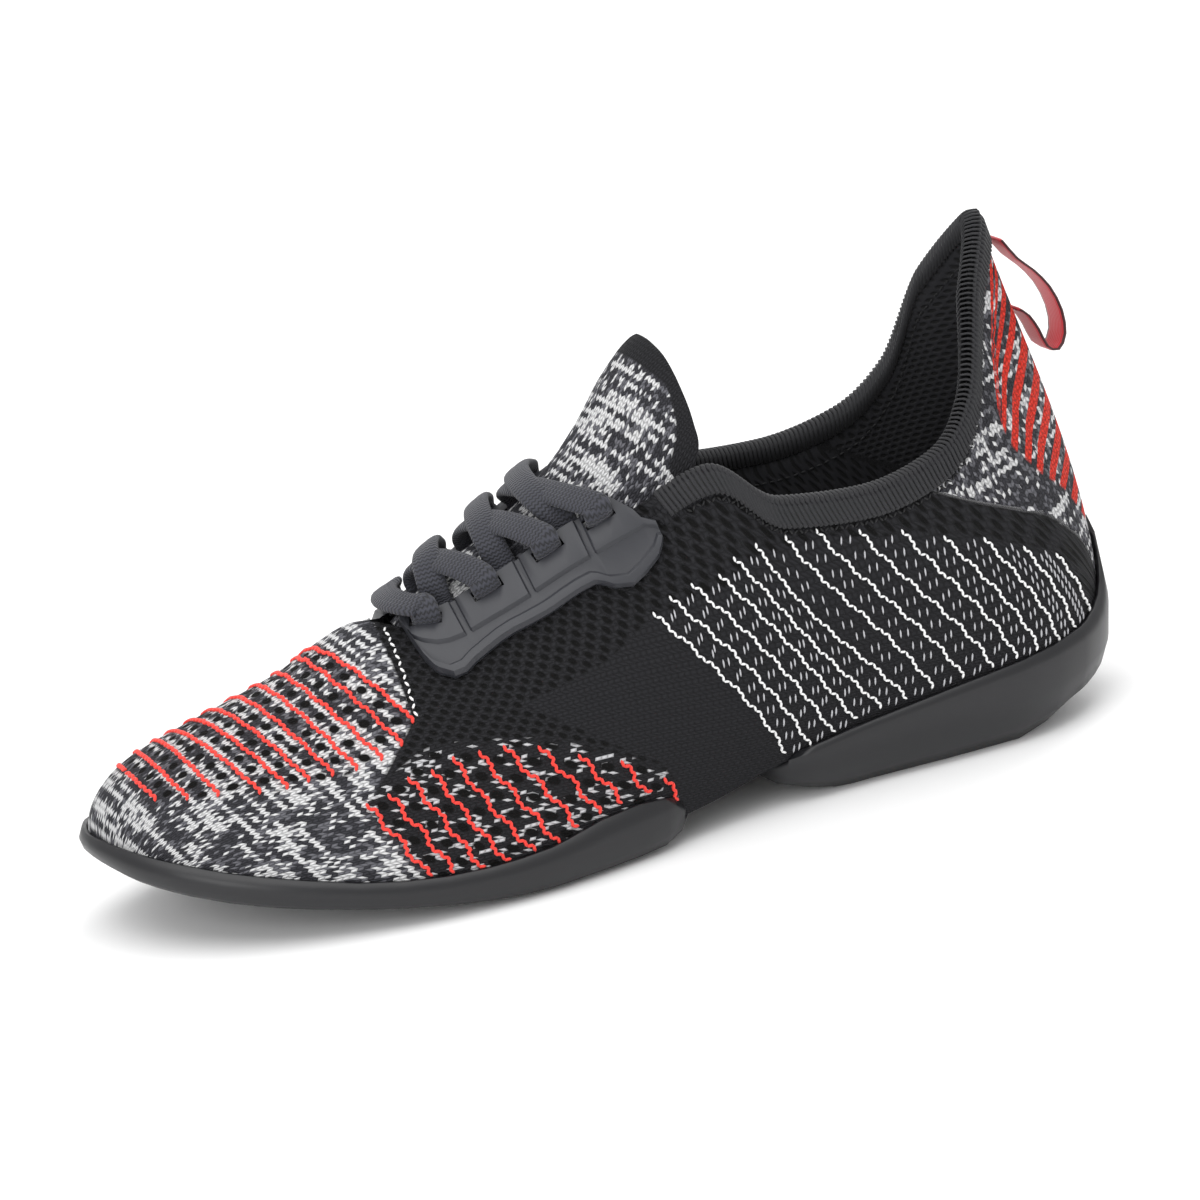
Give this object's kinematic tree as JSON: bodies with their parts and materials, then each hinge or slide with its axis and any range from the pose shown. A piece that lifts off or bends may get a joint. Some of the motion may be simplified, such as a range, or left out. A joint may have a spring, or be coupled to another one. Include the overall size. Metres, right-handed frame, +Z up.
{
  "type": "dance sneaker",
  "caption": "Left dance sneaker with a knitted upper, split rubber sole, padded high heel collar, moulded lace stays, flat laces and a ribbon pull loop at the heel.",
  "frame": {"origin": "centre of the bounding box on the floor plane the shoe stands on", "axes": "the toe points along -X, the outer side of the foot faces -Y, +Z is up"},
  "size_m": [0.2708, 0.0925, 0.1281],
  "materials": {
    "knit": "knitted",
    "sole_rubber": "satin",
    "stay_plastic": "matte",
    "lace": "woven",
    "ribbon": "woven",
    "insole_cloth": "woven"
  },
  "bodies": {
    "root": {"upper": "knit", "forefoot_sole": "sole_rubber", "heel_sole": "sole_rubber", "insole": "insole_cloth", "tongue": "knit", "eyestay_lateral": "stay_plastic", "eyestay_medial": "stay_plastic", "lace_bar": "lace", "lace_cross_1": "lace", "lace_cross_2": "lace", "lace_cross_3": "lace", "pull_loop": "ribbon"}
  },
  "joints": []
}
